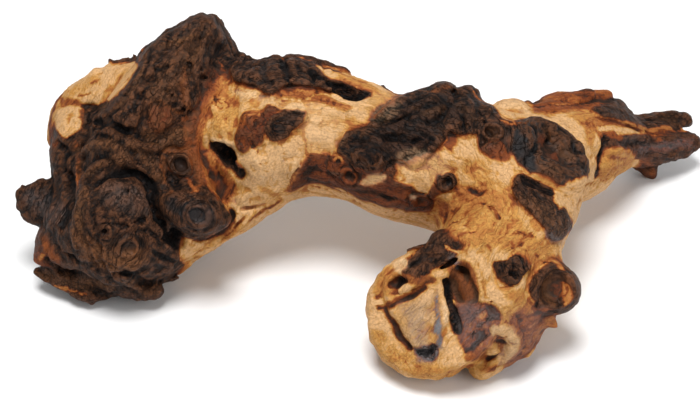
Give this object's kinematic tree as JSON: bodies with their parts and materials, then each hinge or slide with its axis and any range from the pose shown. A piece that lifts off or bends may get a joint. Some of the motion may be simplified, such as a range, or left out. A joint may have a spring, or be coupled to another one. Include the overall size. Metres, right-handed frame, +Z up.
{
  "type": "dry root",
  "caption": "Gnarled dry root: an arch of pale wood with dark plates and knots between a folded burl, a broken leg and a low branch, resting on small flat spots.",
  "frame": {"origin": "middle of the root's footprint box, at the level of the surface it lies on", "axes": "+X along the root's length from the big burl to the branch tips, +Y from the broken leg towards the branch tips' side, +Z up"},
  "size_m": [0.3584, 0.1997, 0.1161],
  "materials": {
    "wood": "dry, bare, pale sapwood with dark heartwood plates"
  },
  "bodies": {
    "root": {"root": "wood"}
  },
  "joints": []
}
